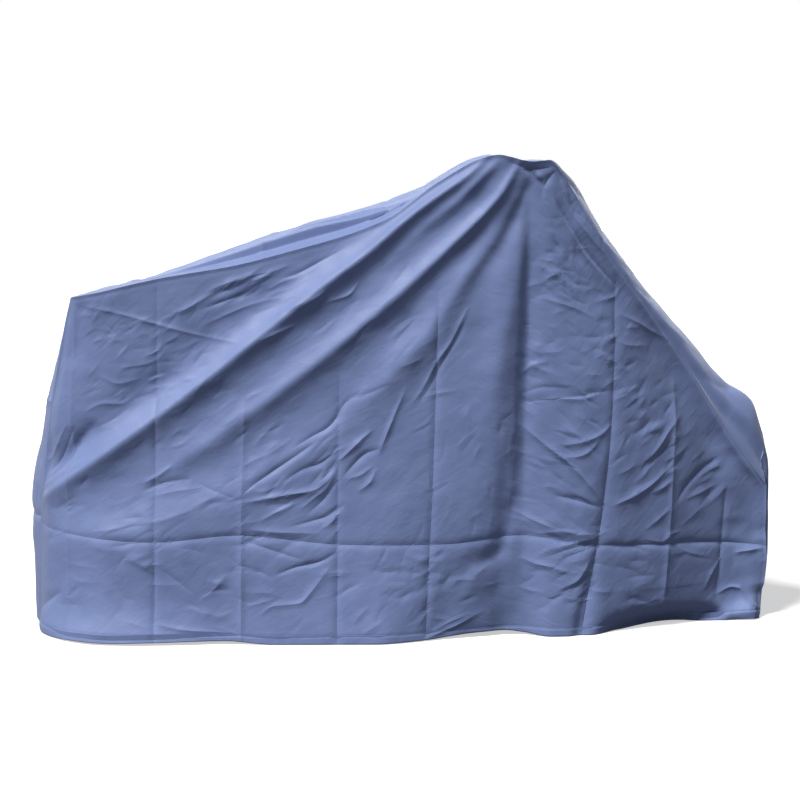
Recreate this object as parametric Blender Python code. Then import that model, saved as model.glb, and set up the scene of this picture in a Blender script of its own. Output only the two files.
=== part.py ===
"""Fitted cloth cover for an adult tricycle, hanging as it does over one.

Three cut pieces of coated cloth: a side panel on each side, and a gusset strip
between them that runs from the rear hem up the back, along the top and down the
front to the front hem. The cover is hollow and open below.
Metres. +X is the front, -Y the near side and +Z up.
"""
from collections import namedtuple

import bpy
import numpy as np

COLLECTION_NAME = "tricycle_cover"

CLOTH_THICKNESS = 0.002
SEAM_HALF_GAP = 0.0003
# Moves the cover so that its box is centred over the origin and stands on z = 0.
CENTRE_SHIFT = (-0.003, 0.0, 0.0)

COLUMNS_ALONG_SIDE = 44
ROWS_UP_SIDE = 21
ARC_SAMPLES = 1200

# The far panel's rear top hangs below the near one's, by this share of its height.
# The drop starts at REAR_SAG_PLACE along the hem and is whole REAR_SAG_RUN behind it.
REAR_SAG = 0.034
REAR_SAG_PLACE = -0.480
REAR_SAG_RUN = 0.400

# The fold heights fade to nothing over this share of the panel's height below a seam.
SEAM_FADE = 0.10
EDGE_FADE = 0.05

# The most that a mitred seam edge is lengthened to keep the cloth's thickness.
MITRE_LIMIT = 1.6
# Stands in for the cosine at a seam where the two panels meet square to its mitre.
LEAST_COSINE = 0.01

# Coated polyester, slate blue.
CLOTH_COLOUR = (0.165, 0.215, 0.420, 1.0)
CLOTH_ROUGHNESS = 0.48
CLOTH_METALLIC = 0.0

# Upright sections of a side panel, from its rear edge to its front edge. hem_x and
# hem_y place the foot, low_y and high_y are the depths at a third and two thirds of
# the height, seam_* is the point on the gusset's seam, bow_x is how far the section
# bows backwards or forwards at half height, and hem_z is how high the foot hangs.
Section = namedtuple("Section", "hem_x hem_y low_y high_y seam_x seam_y seam_z bow_x hem_z")
SECTIONS = (
    Section(-0.900, -0.200, -0.220, -0.250, -0.797, -0.294, 0.824, -0.028, 0.000),  # rear edge
    Section(-0.862, -0.304, -0.293, -0.299, -0.775, -0.314, 0.829, -0.028, 0.000),
    Section(-0.800, -0.374, -0.340, -0.331, -0.730, -0.334, 0.838, -0.022, 0.000),
    Section(-0.700, -0.426, -0.378, -0.353, -0.655, -0.342, 0.856, -0.012, 0.000),
    Section(-0.600, -0.433, -0.385, -0.358, -0.568, -0.342, 0.875, -0.004, 0.003),
    Section(-0.420, -0.428, -0.388, -0.360, -0.400, -0.334, 0.903, 0.000, 0.007),
    Section(-0.300, -0.438, -0.391, -0.360, -0.280, -0.322, 0.933, 0.000, 0.000),
    Section(-0.060, -0.434, -0.384, -0.350, -0.035, -0.314, 1.012, 0.000, 0.000),
    Section(0.060, -0.398, -0.370, -0.342, 0.090, -0.310, 1.101, 0.000, 0.002),
    Section(0.180, -0.352, -0.359, -0.333, 0.200, -0.308, 1.160, 0.000, 0.010),
    Section(0.222, -0.340, -0.355, -0.331, 0.239, -0.310, 1.168, 0.000, 0.011),
    Section(0.262, -0.327, -0.342, -0.323, 0.290, -0.311, 1.156, 0.000, 0.010),
    Section(0.300, -0.324, -0.324, -0.306, 0.318, -0.309, 1.152, 0.000, 0.006),  # hanging valley
    Section(0.370, -0.350, -0.323, -0.306, 0.358, -0.300, 1.155, 0.000, 0.000),  # under the grip
    Section(0.450, -0.342, -0.319, -0.301, 0.408, -0.277, 1.095, 0.000, 0.000),
    Section(0.550, -0.292, -0.295, -0.285, 0.486, -0.250, 0.957, 0.000, 0.000),
    Section(0.615, -0.256, -0.268, -0.260, 0.554, -0.228, 0.866, 0.000, 0.002),
    Section(0.680, -0.224, -0.238, -0.228, 0.620, -0.192, 0.778, 0.000, 0.004),
    Section(0.760, -0.188, -0.190, -0.180, 0.710, -0.152, 0.652, 0.000, 0.000),
    Section(0.850, -0.156, -0.136, -0.124, 0.806, -0.118, 0.500, 0.004, 0.000),
    Section(0.890, -0.158, -0.118, -0.104, 0.873, -0.102, 0.408, 0.006, 0.000),
    Section(0.910, -0.144, -0.100, -0.090, 0.933, -0.088, 0.333, 0.006, 0.000),  # front edge
)

# How the rows of a side panel gather upwards to follow its slanting folds: the height
# share of a row is the row's own share raised to this power.
RowLean = namedtuple("RowLean", "hem_x power")
ROW_LEANS = (
    RowLean(-0.90, 1.7),
    RowLean(-0.60, 1.3),
    RowLean(-0.35, 1.0),
    RowLean(0.00, 0.75),
    RowLean(0.25, 0.70),
    RowLean(0.50, 1.0),
    RowLean(0.91, 1.0),
)

# The gusset's middle line. at is the height share up the edge seam on the back and
# the front, and the section's hem_x on the top.
Crest = namedtuple("Crest", "at x z")
BACK_CREST = (
    Crest(0.00, -0.938, 0.000),
    Crest(0.35, -0.945, 0.270),
    Crest(0.60, -0.912, 0.480),
    Crest(0.80, -0.866, 0.650),
    Crest(0.95, -0.830, 0.768),
    Crest(1.00, -0.814, 0.808),
)
TOP_CREST = (
    Crest(-0.900, -0.814, 0.808),
    Crest(-0.862, -0.784, 0.820),
    Crest(-0.700, -0.655, 0.850),
    Crest(-0.600, -0.568, 0.878),
    Crest(-0.420, -0.400, 0.936),
    Crest(-0.300, -0.280, 0.976),
    Crest(-0.060, -0.035, 1.050),
    Crest(0.060, 0.090, 1.096),
    Crest(0.180, 0.190, 1.144),
    Crest(0.222, 0.229, 1.162),
    Crest(0.262, 0.280, 1.160),
    Crest(0.300, 0.318, 1.150),
    Crest(0.370, 0.372, 1.150),
    Crest(0.450, 0.425, 1.115),
    Crest(0.550, 0.500, 0.996),
    Crest(0.615, 0.575, 0.893),
    Crest(0.680, 0.648, 0.803),
    Crest(0.760, 0.740, 0.698),
    Crest(0.850, 0.840, 0.587),
    Crest(0.890, 0.905, 0.541),
    Crest(0.910, 0.934, 0.460),
)
FRONT_CREST = (
    Crest(0.00, 0.930, 0.000),
    Crest(0.15, 0.935, 0.050),
    Crest(0.35, 0.947, 0.130),
    Crest(0.65, 0.951, 0.260),
    Crest(0.85, 0.950, 0.370),
    Crest(1.00, 0.934, 0.460),
)

# The gusset's rise across its width, as a share of its middle line's height over the
# seams. across runs from the near seam (-1) to the far one (1). arch is its plain rise,
# and step its rise along the rear top, where it climbs close to the near seam.
Rise = namedtuple("Rise", "across arch step")
RISES = (
    Rise(-1.00, 0.00, 0.00),
    Rise(-0.86, 0.26, 0.62),
    Rise(-0.50, 0.75, 0.98),
    Rise(0.00, 1.00, 1.02),
    Rise(0.50, 0.75, 0.86),
    Rise(1.00, 0.00, 0.00),
)
# How much of the stepped rise there is along the cover.
StepShare = namedtuple("StepShare", "x share")
STEP_SHARES = (
    StepShare(-0.78, 0.0),
    StepShare(-0.62, 0.6),
    StepShare(-0.50, 1.0),
    StepShare(-0.20, 1.0),
    StepShare(-0.04, 0.5),
    StepShare(0.10, 0.0),
)

# Folds on a side panel, seen from its own side. route lists (x, z) points along the
# fold. width and height go from the route's first point to its last, and a negative
# height is a valley. upper and lower scale the width on the two sides of the fold.
Fold = namedtuple("Fold", "name route width height upper lower")
NEAR_FOLDS = (
    Fold("first_ridge",
         ((0.168, 1.124), (0.110, 1.082), (0.030, 1.023), (-0.070, 0.938), (-0.196, 0.843),
          (-0.351, 0.721), (-0.508, 0.597), (-0.657, 0.488), (-0.787, 0.393),
          (-0.893, 0.313)),
         (0.032, 0.048), (0.022, 0.026), 1.0, 1.1),
    Fold("first_hollow",
         ((-0.060, 1.010), (-0.230, 0.890), (-0.385, 0.768), (-0.542, 0.644), (-0.691, 0.535),
          (-0.823, 0.442)),
         (0.045, 0.050), (-0.008, -0.010), 1.1, 0.9),
    Fold("second_ridge",
         ((0.284, 1.146), (0.241, 1.073), (0.179, 1.005), (0.106, 0.936), (-0.001, 0.835),
          (-0.128, 0.729), (-0.283, 0.607), (-0.452, 0.485), (-0.598, 0.387)),
         (0.032, 0.046), (0.022, 0.012), 1.0, 1.1),
    Fold("third_ridge",
         ((0.266, 1.032), (0.217, 0.951), (0.156, 0.870), (0.072, 0.744), (-0.048, 0.610),
          (-0.130, 0.535)),
         (0.030, 0.046), (0.014, 0.010), 1.0, 1.1),
    Fold("third_ridge_tail",
         ((-0.020, 0.590), (-0.120, 0.510), (-0.235, 0.448), (-0.400, 0.358), (-0.560, 0.290),
          (-0.735, 0.246), (-0.850, 0.232)),
         (0.050, 0.060), (0.006, 0.012), 1.1, 1.6),
    Fold("hanging_valley",
         ((0.314, 0.964), (0.306, 0.768), (0.296, 0.571), (0.293, 0.422), (0.276, 0.220),
          (0.274, 0.000)),
         (0.028, 0.030), (-0.006, -0.009), 1.2, 1.0),
    Fold("hanging_valley_hook",
         ((0.284, 0.340), (0.250, 0.214), (0.214, 0.192), (0.150, 0.140)),
         (0.028, 0.026), (-0.010, -0.008), 1.0, 1.0),
    Fold("rear_foot_swell",
         ((-0.900, 0.020), (-0.780, -0.010), (-0.620, -0.020), (-0.440, -0.020)),
         (0.055, 0.060), (0.012, 0.012), 1.0, 1.0),
    Fold("front_foot_tuck",
         ((0.500, 0.000), (0.600, 0.004), (0.700, 0.004), (0.780, 0.012)),
         (0.028, 0.030), (-0.020, -0.030), 1.0, 1.0),
    Fold("front_foot_kick",
         ((0.780, 0.012), (0.850, 0.016), (0.900, 0.020)),
         (0.030, 0.030), (0.012, 0.016), 1.0, 1.0),
)
FAR_FOLDS = (
    Fold("far_first_ridge",
         ((0.080, 1.040), (-0.090, 0.930), (-0.260, 0.810), (-0.450, 0.680),
          (-0.640, 0.540), (-0.830, 0.390)),
         (0.030, 0.055), (0.018, 0.020), 1.3, 0.9),
    Fold("far_first_valley",
         ((0.120, 0.995), (-0.050, 0.865), (-0.230, 0.735), (-0.420, 0.610),
          (-0.600, 0.490), (-0.800, 0.350)),
         (0.030, 0.044), (-0.026, -0.022), 1.0, 1.0),
    Fold("far_second_ridge",
         ((0.260, 1.090), (0.120, 0.950), (-0.060, 0.790), (-0.260, 0.640), (-0.460, 0.520)),
         (0.030, 0.060), (0.020, 0.012), 1.0, 1.0),
    Fold("far_second_valley",
         ((0.300, 1.090), (0.190, 0.940), (0.040, 0.770), (-0.140, 0.620), (-0.330, 0.490)),
         (0.030, 0.048), (-0.022, -0.010), 1.0, 1.2),
    Fold("far_lobe_left",
         ((0.300, 0.900), (0.285, 0.600), (0.265, 0.300), (0.262, 0.000)),
         (0.030, 0.032), (-0.010, -0.014), 1.5, 0.8),
    Fold("far_front_tuck",
         ((0.560, 0.060), (0.680, 0.050), (0.800, 0.052)),
         (0.024, 0.028), (-0.012, -0.018), 1.2, 0.8),
)
# Points read along each fold's route to find how far a place on the cloth is from it.
ROUTE_SAMPLES = 40
# A fold runs on past its route's ends by END_REACH of its length and fades over END_RUN.
END_REACH = 0.12
END_RUN = 0.24


def column(table, name):
    return np.array([getattr(row, name) for row in table])


def read_smoothly(places, values, wanted):
    """Reads values between places on cubic curves that never overshoot."""
    widths = np.diff(places)
    rises = np.diff(values) / widths
    tangents = np.zeros(len(values))
    tangents[0] = rises[0]
    tangents[-1] = rises[-1]
    same_way = rises[1:] * rises[:-1] > 0
    both = np.where(same_way, rises[1:] + rises[:-1], 1.0)
    tangents[1:-1] = np.where(same_way, 2 * rises[1:] * rises[:-1] / both, 0.0)
    cell = np.clip(np.searchsorted(places, wanted) - 1, 0, len(places) - 2)
    width = widths[cell]
    s = np.clip((wanted - places[cell]) / width, 0.0, 1.0)
    start = (1 + 2 * s) * (1 - s) ** 2 * values[cell]
    start_lean = s * (1 - s) ** 2 * width * tangents[cell]
    end = s * s * (3 - 2 * s) * values[cell + 1]
    end_lean = s * s * (s - 1) * width * tangents[cell + 1]
    return start + start_lean + end + end_lean


def read_section(name, hem_x):
    return read_smoothly(column(SECTIONS, "hem_x"), column(SECTIONS, name), hem_x)


def ease(value):
    """A soft step from 0 to 1."""
    value = np.clip(value, 0.0, 1.0)
    return value * value * (3 - 2 * value)


def near_side_points(hem_x, rise):
    """Points of the near side panel before its folds, for hem places and height shares."""
    hem_y = read_section("hem_y", hem_x)
    low_y = read_section("low_y", hem_x)
    high_y = read_section("high_y", hem_x)
    seam_y = read_section("seam_y", hem_x)
    x = hem_x + (read_section("seam_x", hem_x) - hem_x) * rise
    x = x + read_section("bow_x", hem_x) * 4 * rise * (1 - rise)
    third = rise * 3
    y = (hem_y * (third - 1) * (third - 2) * (third - 3) / -6
         + low_y * third * (third - 2) * (third - 3) / 2
         + high_y * third * (third - 1) * (third - 3) / -2
         + seam_y * third * (third - 1) * (third - 2) / 6)
    hem_z = read_section("hem_z", hem_x)
    z = hem_z + (read_section("seam_z", hem_x) - hem_z) * rise
    return np.stack((x, y, z), axis=-1)


def even_hem_places(count):
    """Hem places spaced so that the panel's columns are evenly far apart."""
    fine = np.linspace(SECTIONS[0].hem_x, SECTIONS[-1].hem_x, ARC_SAMPLES)
    run = np.zeros(ARC_SAMPLES)
    for rise in (0.0, 0.5, 1.0):
        line = near_side_points(fine, np.full(ARC_SAMPLES, rise))
        steps = np.linalg.norm(np.diff(line, axis=0), axis=1)
        run[1:] += np.cumsum(steps)
    return np.interp(np.linspace(0, run[-1], count), run, fine)


def surface_normals(points, outside):
    """Unit normals of a grid of points, turned to the side that outside lies on."""
    along = np.gradient(points, axis=1)
    upward = np.gradient(points, axis=0)
    normals = np.cross(along, upward)
    normals /= np.linalg.norm(normals, axis=-1, keepdims=True)
    if np.sum(normals * outside) < 0:
        normals = -normals
    return normals


def fold_heights(x, z, folds):
    """How far the folds lift the cloth at places seen from the panel's side."""
    total = np.zeros(x.shape)
    for fold in folds:
        route = np.array(fold.route)
        marks = np.linspace(0.0, 1.0, len(route))
        share = np.linspace(0.0, 1.0, ROUTE_SAMPLES)
        line_x = read_smoothly(marks, route[:, 0], share)
        line_z = read_smoothly(marks, route[:, 1], share)
        gap_x = x[..., None] - line_x
        gap_z = z[..., None] - line_z
        nearest = np.argmin(gap_x ** 2 + gap_z ** 2, axis=-1)
        before = np.clip(nearest, 1, ROUTE_SAMPLES - 2)
        lean_x = line_x[before + 1] - line_x[before - 1]
        lean_z = line_z[before + 1] - line_z[before - 1]
        length = np.hypot(lean_x, lean_z)
        off_x = x - line_x[before]
        off_z = z - line_z[before]
        past = (off_x * lean_x + off_z * lean_z) / length
        aside = (off_x * lean_z - off_z * lean_x) / length
        place = (before + past * 2 / length) / (ROUTE_SAMPLES - 1)
        end_fade = (ease((place + END_REACH) / END_RUN)
                    * ease((1 + END_REACH - place) / END_RUN))
        place = np.clip(place, 0.0, 1.0)
        width = fold.width[0] + (fold.width[1] - fold.width[0]) * place
        uphill = np.where(lean_x > 0, -aside, aside)
        width = width * np.where(uphill > 0, fold.upper, fold.lower)
        height = fold.height[0] + (fold.height[1] - fold.height[0]) * place
        total += height * end_fade * np.exp(-(aside / width) ** 2)
    return total


def near_side_grid(hem_places, rises, folds):
    """The near side panel's outer face as rows of points from the hem up."""
    hem_x, rise = np.meshgrid(hem_places, rises)
    powers = read_smoothly(column(ROW_LEANS, "hem_x"), column(ROW_LEANS, "power"), hem_x)
    rise = rise ** powers
    points = near_side_points(hem_x, rise)
    normals = surface_normals(points, (0.0, -1.0, 0.0))
    heights = fold_heights(points[..., 0], points[..., 2], folds)
    along = np.linspace(0.0, 1.0, len(hem_places))[None, :]
    fade = ease((1 - rise) / SEAM_FADE) * ease(along / EDGE_FADE)
    fade = fade * ease((1 - along) / EDGE_FADE)
    return points + normals * (heights * fade)[..., None]


def crest_points(hem_places, rises):
    """The gusset's middle line, from the rear hem over the top to the front hem."""
    back_rises = rises ** ROW_LEANS[0].power
    front_rises = rises[::-1][1:] ** ROW_LEANS[-1].power
    runs = (
        (BACK_CREST, back_rises),
        (TOP_CREST, hem_places[1:]),
        (FRONT_CREST, front_rises),
    )
    parts = []
    for table, wanted in runs:
        at = column(table, "at")
        x = read_smoothly(at, column(table, "x"), wanted)
        z = read_smoothly(at, column(table, "z"), wanted)
        parts.append(np.stack((x, np.zeros(len(x)), z), axis=-1))
    return np.concatenate(parts)


def seam_run(grid):
    """What a side panel's grid holds along its seams, in the gusset's row order."""
    return np.concatenate((grid[:, 0], grid[-1, 1:], grid[::-1, -1][1:]))


def gusset_grid(near_grid, far_grid, hem_places, rises):
    """The gusset's outer face as rows of points across it, from the rear hem on."""
    near_edge = seam_run(near_grid)
    far_edge = seam_run(far_grid)
    crest = crest_points(hem_places, rises)
    share = np.interp(crest[:, 0], column(STEP_SHARES, "x"), column(STEP_SHARES, "share"))
    share = share[:, None, None]
    arch = column(RISES, "arch")[None, :, None]
    step = column(RISES, "step")[None, :, None]
    across = column(RISES, "across")[None, :, None]
    flat = near_edge[:, None] * (1 - across) / 2 + far_edge[:, None] * (1 + across) / 2
    crown = crest - (near_edge + far_edge) / 2
    return flat + crown[:, None] * (arch * (1 - share) + step * share)


def mitred(normals, shared):
    """Shared seam directions, lengthened so that the cloth keeps its thickness."""
    lean = np.sum(normals * shared, axis=-1, keepdims=True)
    return shared * np.minimum(1 / np.maximum(lean, LEAST_COSINE), MITRE_LIMIT)


def mitre_seam(side_normals, gusset_normals, gusset_column):
    """Turns both panels' normals along their seam to the direction halfway between."""
    side_run = seam_run(side_normals)
    gusset_run = gusset_normals[:, gusset_column].copy()
    shared = side_run + gusset_run
    shared /= np.linalg.norm(shared, axis=-1, keepdims=True)
    rows, columns = side_normals.shape[:2]
    side_edge = mitred(side_run, shared)
    side_normals[:, 0] = side_edge[:rows]
    side_normals[-1, :] = side_edge[rows - 1:rows - 1 + columns]
    side_normals[::-1, -1] = side_edge[rows + columns - 2:]
    gusset_normals[:, gusset_column] = mitred(gusset_run, shared)


def pull_back(grid, edge, neighbour):
    """Moves a seam edge away from the seam by half of the gap between the panels."""
    step = grid[neighbour] - grid[edge]
    length = np.linalg.norm(step, axis=-1, keepdims=True)
    return step / length * SEAM_HALF_GAP


def sheet_solid(name, outer, normals, seam_edges):
    """A closed sheet of cloth under a grid of outer points."""
    shift = np.zeros(outer.shape)
    for edge, neighbour in seam_edges:
        shift[edge] += pull_back(outer, edge, neighbour)
    outer = outer + shift
    inner = outer - normals * CLOTH_THICKNESS
    rows, columns = outer.shape[:2]
    points = np.concatenate((outer.reshape(-1, 3), inner.reshape(-1, 3)))
    points = points + np.array(CENTRE_SHIFT)
    layer = rows * columns
    faces = []
    for row in range(rows - 1):
        for place in range(columns - 1):
            corner = row * columns + place
            opposite = corner + columns + 1
            # Both layers are split along the diagonal that the slanting folds follow.
            below = (corner, corner + 1, opposite)
            above = (corner, opposite, corner + columns)
            for triangle in (below, above):
                faces.append(triangle)
                faces.append(tuple(layer + index for index in reversed(triangle)))
    rim = list(range(columns))
    rim += [row * columns + columns - 1 for row in range(1, rows)]
    rim += [(rows - 1) * columns + place for place in range(columns - 2, -1, -1)]
    rim += [row * columns for row in range(rows - 2, 0, -1)]
    for here, there in zip(rim, rim[1:] + rim[:1]):
        faces.append((there, here, layer + here, layer + there))
    mesh = bpy.data.meshes.new(name)
    mesh.from_pydata(points.tolist(), [], faces)
    mesh.update()
    mesh.shade_smooth()
    return bpy.data.objects.new(name, mesh)


def face_outwards(cloth_object):
    """Turns the faces round where the grid runs the other way about."""
    mesh = cloth_object.data
    corners = np.array([vertex.co for vertex in mesh.vertices])
    volume = 0.0
    for polygon in mesh.polygons:
        fan = corners[list(polygon.vertices)]
        for index in range(1, len(fan) - 1):
            volume += np.dot(fan[0], np.cross(fan[index], fan[index + 1]))
    if volume < 0:
        mesh.flip_normals()


def cloth_material(name):
    material = bpy.data.materials.new(name)
    material.use_nodes = True
    shader = material.node_tree.nodes["Principled BSDF"]
    shader.inputs["Base Color"].default_value = CLOTH_COLOUR
    shader.inputs["Roughness"].default_value = CLOTH_ROUGHNESS
    shader.inputs["Metallic"].default_value = CLOTH_METALLIC
    return material


def mirror(grid):
    return grid * np.array((1.0, -1.0, 1.0))


def build():
    for old in list(bpy.data.objects):
        bpy.data.objects.remove(old, do_unlink=True)
    collection = bpy.data.collections.new(COLLECTION_NAME)
    bpy.context.scene.collection.children.link(collection)

    hem_places = even_hem_places(COLUMNS_ALONG_SIDE + 1)
    rises = np.linspace(0.0, 1.0, ROWS_UP_SIDE + 1)
    near = near_side_grid(hem_places, rises, NEAR_FOLDS)
    far = mirror(near_side_grid(hem_places, rises, FAR_FOLDS))
    sag = REAR_SAG * np.clip((REAR_SAG_PLACE - hem_places) / REAR_SAG_RUN, 0.0, 1.0)
    far[..., 2] *= 1 - sag
    gusset = gusset_grid(near, far, hem_places, rises)
    near_normals = surface_normals(near, (0.0, -1.0, 0.0))
    far_normals = surface_normals(far, (0.0, 1.0, 0.0))
    gusset_normals = surface_normals(gusset, (0.0, 0.0, 1.0))
    mitre_seam(near_normals, gusset_normals, 0)
    mitre_seam(far_normals, gusset_normals, -1)

    top = (-1, slice(None))
    rear = (slice(None), 0)
    front = (slice(None), -1)
    side_seams = (
        (top, (-2, slice(None))),
        (rear, (slice(None), 1)),
        (front, (slice(None), -2)),
    )
    gusset_seams = ((rear, (slice(None), 1)), (front, (slice(None), -2)))
    pieces = (
        ("side_panel_near", near, near_normals, side_seams),
        ("side_panel_far", far, far_normals, side_seams),
        ("centre_gusset", gusset, gusset_normals, gusset_seams),
    )
    for name, grid, normals, seams in pieces:
        piece = sheet_solid(name, grid, normals, seams)
        face_outwards(piece)
        piece.data.materials.append(cloth_material(name + "_cloth"))
        collection.objects.link(piece)


build()
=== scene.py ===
"""Looks of the tricycle cover: three thin cloth panels on the solids' folds, with their
creases, hem, seams and coated weave, on a pale floor in soft light."""
import math
from collections import namedtuple

import bpy
import numpy as np
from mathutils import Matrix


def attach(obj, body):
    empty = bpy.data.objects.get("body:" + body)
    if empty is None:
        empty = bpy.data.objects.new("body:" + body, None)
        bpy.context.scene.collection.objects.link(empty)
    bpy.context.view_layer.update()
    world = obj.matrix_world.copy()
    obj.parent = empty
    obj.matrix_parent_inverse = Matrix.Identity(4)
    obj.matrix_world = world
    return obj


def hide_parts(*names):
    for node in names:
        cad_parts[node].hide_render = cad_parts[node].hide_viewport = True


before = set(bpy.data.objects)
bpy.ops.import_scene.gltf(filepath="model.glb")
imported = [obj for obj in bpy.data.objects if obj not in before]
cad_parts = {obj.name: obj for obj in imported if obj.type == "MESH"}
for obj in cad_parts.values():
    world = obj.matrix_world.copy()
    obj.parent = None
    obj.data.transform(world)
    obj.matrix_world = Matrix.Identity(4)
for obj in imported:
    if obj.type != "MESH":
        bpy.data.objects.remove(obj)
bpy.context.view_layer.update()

CENTRE_SHIFT = (-0.003, 0.0, 0.0)

SIDE_COLUMNS = 430
SIDE_ROWS = 212
HEM_ROWS = 12
HEM_ZONE = 0.034
FAR_COLUMN_STEP = 2
# Quads across the gusset, by lanes from the near seam (-1) to the far one (1).
Lane = namedtuple("Lane", "begin end quads")
GUSSET_LANES = (Lane(-1.000, -0.875, 10), Lane(-0.875, -0.850, 10), Lane(-0.850, -0.600, 13),
                Lane(-0.600, 1.000, 26))
ARC_SAMPLES = 2400
LEAST_NORMAL = 1e-12
# The height shares that the spacing of a side panel's columns is averaged over.
ARC_RISES = (0.0, 0.5, 1.0)
# The row of a side panel that its width along the cloth is measured on.
RUN_ROW = 60

# The turned hem: its depth, how far its second layer stands behind the first, and how
# much the doubled cloth stands proud of the panel above the stitches.
HEM_DEPTH = 0.020
HEM_LAYER_GAP = 0.003
HEM_SWELL = 0.0009
HEM_SWELL_EDGE = 0.004
STITCH_GROOVE = 0.0008
STITCH_GROOVE_WIDTH = 0.0022
# The rows of the turned-up layer, from its inner top down to the foot: shares of the layer
# gap that they stand in, and of the hem's depth that they stand up.
HEM_TURN = ((1.0, 1.0), (1.0, 0.6), (1.0, 0.25), (1.0, 0.05), (0.7, 0.0), (0.25, 0.0))
# The share of a fold that is left at the gusset seam, and how far in it is whole.
FOLD_AT_SEAM = 0.70
SEAM_FADE = 0.035
REAR_EDGE_FADE = 0.010
# The raised lip of the seam allowances and the groove beside it.
SEAM_LIP = 0.0010
SEAM_LIP_WIDTH = 0.004
SEAM_GROOVE = 0.0006
SEAM_GROOVE_PLACE = 0.009
SEAM_GROOVE_WIDTH = 0.003

# On the gusset, the soft lumps start this far in from the seam and are whole after the
# run that follows. Every fold fades out in the last stretch, where the cloth is drawn in.
LUMP_START = 0.03
LUMP_RUN = 0.08
GUSSET_EDGE_FADE = 0.02
DRAWN_IN_WIDTH = 0.03
# The trough that the gusset's slack makes beside the near seam, down the front slope.
FRONT_GUTTER = 0.012
FRONT_GUTTER_PLACE = 0.022
FRONT_GUTTER_WIDTH = 0.013
FRONT_GUTTER_START = 0.42
FRONT_GUTTER_RUN = 0.10

# The far panel's rear top sags below the near one's, by this share of its height.
REAR_SAG = 0.034
REAR_SAG_PLACE = -0.480
REAR_SAG_RUN = 0.400

# The tables of sections, folds, creases and wrinkles are in millimetres, and the rest is
# in metres.
MM_PER_METRE = 1000

# Upright sections of a side panel, as in the solids: the foot, the depth at a third and
# two thirds of the height, the point on the seam, and the bow at half height.
Section = namedtuple("Section", "hem_x hem_y low_y high_y seam_x seam_y seam_z bow_x hem_z")
SECTIONS = Section(*np.transpose((
    (-900, -200, -220, -250, -797, -294, 824, -28, 0),  # rear edge
    (-862, -304, -293, -299, -775, -314, 829, -28, 0),
    (-800, -374, -340, -331, -730, -334, 838, -22, 0),
    (-700, -426, -378, -353, -655, -342, 856, -12, 0),
    (-600, -433, -385, -358, -568, -342, 875, -4, 3),
    (-420, -428, -388, -360, -400, -334, 903, 0, 7),
    (-300, -438, -391, -360, -280, -322, 933, 0, 0),
    (-60, -434, -384, -350, -35, -314, 1012, 0, 0),
    (60, -398, -370, -342, 90, -310, 1101, 0, 2),
    (180, -352, -359, -333, 200, -308, 1160, 0, 10),
    (222, -340, -355, -331, 239, -310, 1168, 0, 11),
    (262, -327, -342, -323, 290, -311, 1156, 0, 10),
    (300, -324, -324, -306, 318, -309, 1152, 0, 6),  # hanging valley
    (370, -350, -323, -306, 358, -300, 1155, 0, 0),  # under the grip
    (450, -342, -319, -301, 408, -277, 1095, 0, 0),
    (550, -292, -295, -285, 486, -250, 957, 0, 0),
    (615, -256, -268, -260, 554, -228, 866, 0, 2),
    (680, -224, -238, -228, 620, -192, 778, 0, 4),
    (760, -188, -190, -180, 710, -152, 652, 0, 0),
    (850, -156, -136, -124, 806, -118, 500, 4, 0),
    (890, -158, -118, -104, 873, -102, 408, 6, 0),
    (910, -144, -100, -90, 933, -88, 333, 6, 0),  # front edge
)) / MM_PER_METRE)

# The gusset's middle line. at is the height share up the edge seam on the back and
# the front, and the section's hem_x on the top.
Crest = namedtuple("Crest", "at x z")
BACK_CREST = Crest(*np.transpose((
    (0.00, -0.938, 0.000), (0.35, -0.945, 0.270), (0.60, -0.912, 0.480), (0.80, -0.866, 0.650),
    (0.95, -0.830, 0.768), (1.00, -0.814, 0.808),
)))
TOP_CREST = Crest(*np.transpose((
    (-0.900, -0.814, 0.808), (-0.862, -0.784, 0.820), (-0.700, -0.655, 0.850), (-0.600, -0.568, 0.878),
    (-0.420, -0.400, 0.936), (-0.300, -0.280, 0.976), (-0.060, -0.035, 1.050), (0.060, 0.090, 1.096),
    (0.180, 0.190, 1.144), (0.222, 0.229, 1.162), (0.262, 0.280, 1.160), (0.300, 0.318, 1.150),
    (0.370, 0.372, 1.150), (0.450, 0.425, 1.115), (0.550, 0.500, 0.996), (0.615, 0.575, 0.893),
    (0.680, 0.648, 0.803), (0.760, 0.740, 0.698), (0.850, 0.840, 0.587), (0.890, 0.905, 0.541),
    (0.910, 0.934, 0.460),
)))
FRONT_CREST = Crest(*np.transpose((
    (0.00, 0.930, 0.000), (0.15, 0.935, 0.050), (0.35, 0.947, 0.130), (0.65, 0.951, 0.260),
    (0.85, 0.950, 0.370), (1.00, 0.934, 0.460),
)))
# The gusset's rise across its width: a plain arch, and the stepped one along the top,
# where the cloth lies flat beside the seam and then climbs. across runs from the near
# seam (-1) to the far one (1); rise is a share of the crest's height over the seams.
Rise = namedtuple("Rise", "across arch step")
RISES = Rise(*np.transpose((
    (-1.000, 0.000, 0.00), (-0.960, 0.078, 0.12), (-0.910, 0.172, 0.25), (-0.868, 0.246, 0.35),
    (-0.858, 0.264, 0.90), (-0.820, 0.328, 0.97), (-0.600, 0.640, 1.00), (0.000, 1.000, 1.02),
    (0.500, 0.750, 0.86), (0.800, 0.360, 0.42), (1.000, 0.000, 0.00),
)))
# How much of the stepped rise there is along the cover.
StepShare = namedtuple("StepShare", "x share")
STEP_SHARES = StepShare(*np.transpose((
    (-0.78, 0.0), (-0.62, 0.6), (-0.50, 1.0), (-0.20, 1.0), (-0.04, 0.5), (0.10, 0.0),
)))

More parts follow.
